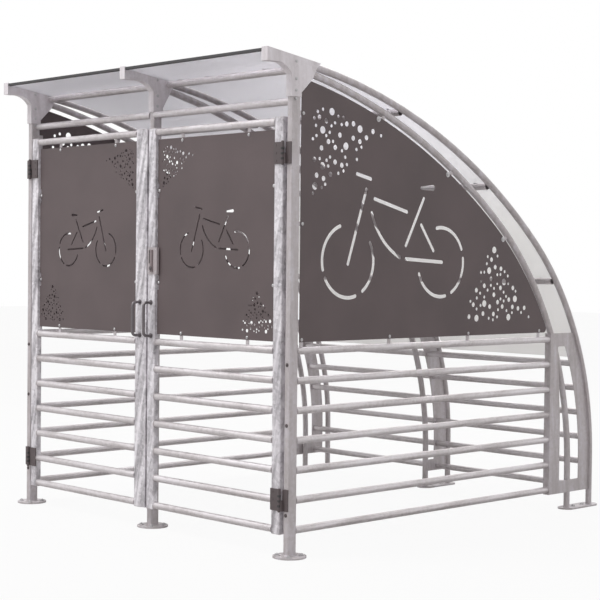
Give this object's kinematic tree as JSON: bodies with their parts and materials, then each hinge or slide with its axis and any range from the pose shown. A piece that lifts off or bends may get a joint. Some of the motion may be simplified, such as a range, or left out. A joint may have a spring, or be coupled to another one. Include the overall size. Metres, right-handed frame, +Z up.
{
  "type": "bicycle shelter",
  "caption": "Bicycle shelter with arched steel tube frames, a curved translucent roof, barred lower walls, dark infill panels and outward-opening hinged doors.",
  "frame": {"origin": "on the ground under the middle frame, in the plane of the side posts' front faces, at the underside of the middle foot plate", "axes": "+X to the right seen from the doors, +Y from the doors to the back, +Z up"},
  "size_m": [2.15, 2.4531, 2.2167],
  "materials": {
    "galvanised_steel": "hot-dip galvanised, matt spangle",
    "dark_panel": "powder coated, matt anthracite brown",
    "roof_sheet": "frosted translucent",
    "hinge_steel": "satin dark grey",
    "handle_steel": "satin",
    "dark_plastic": "matt dark edge profile",
    "lock_cover": "satin brown"
  },
  "bodies": {
    "shelter": {"left_front_post": "galvanised_steel", "left_head_gusset": "galvanised_steel", "left_outer_arch_tube": "galvanised_steel", "left_inner_arch_tube": "galvanised_steel", "middle_front_post": "galvanised_steel", "middle_head_gusset": "galvanised_steel", "middle_outer_arch_tube": "galvanised_steel", "middle_inner_arch_tube": "galvanised_steel", "right_front_post": "galvanised_steel", "right_head_gusset": "galvanised_steel", "right_outer_arch_tube": "galvanised_steel", "right_inner_arch_tube": "galvanised_steel", "front_foot_plates": "galvanised_steel", "rear_foot_plates": "galvanised_steel", "middle_leg_plate": "galvanised_steel", "purlins": "galvanised_steel", "front_transom": "galvanised_steel", "rear_rails": "galvanised_steel", "left_roof_sheet": "roof_sheet", "left_leg_plate": "galvanised_steel", "left_side_rails": "galvanised_steel", "left_side_panel": "dark_panel", "left_post_hinge_leaves": "hinge_steel", "right_roof_sheet": "roof_sheet", "right_leg_plate": "galvanised_steel", "right_side_rails": "galvanised_steel", "right_side_panel": "dark_panel", "right_post_hinge_leaves": "hinge_steel", "side_panel_tabs": "galvanised_steel", "roof_edge_trim": "dark_plastic"},
    "left_door": {"left_door_stiles": "galvanised_steel", "left_door_rails": "galvanised_steel", "left_door_panel": "dark_panel", "left_door_panel_tabs": "galvanised_steel", "left_door_handle": "handle_steel", "left_door_hinge_leaves": "hinge_steel", "door_cover_strip": "galvanised_steel"},
    "right_door": {"right_door_stiles": "galvanised_steel", "right_door_rails": "galvanised_steel", "right_door_panel": "dark_panel", "right_door_panel_tabs": "galvanised_steel", "right_door_handle": "handle_steel", "right_door_hinge_leaves": "hinge_steel", "door_lock_case": "lock_cover"}
  },
  "joints": [
    {"name": "left_door_hinge", "type": "hinge", "parent": "shelter", "child": "left_door", "pos_m": [-0.9755, -0.018, 1], "axis": [0, 0, -1], "range_deg": [0, 110]},
    {"name": "right_door_hinge", "type": "hinge", "parent": "shelter", "child": "right_door", "pos_m": [0.9755, -0.018, 1], "axis": [0, 0, 1], "range_deg": [0, 110]}
  ]
}
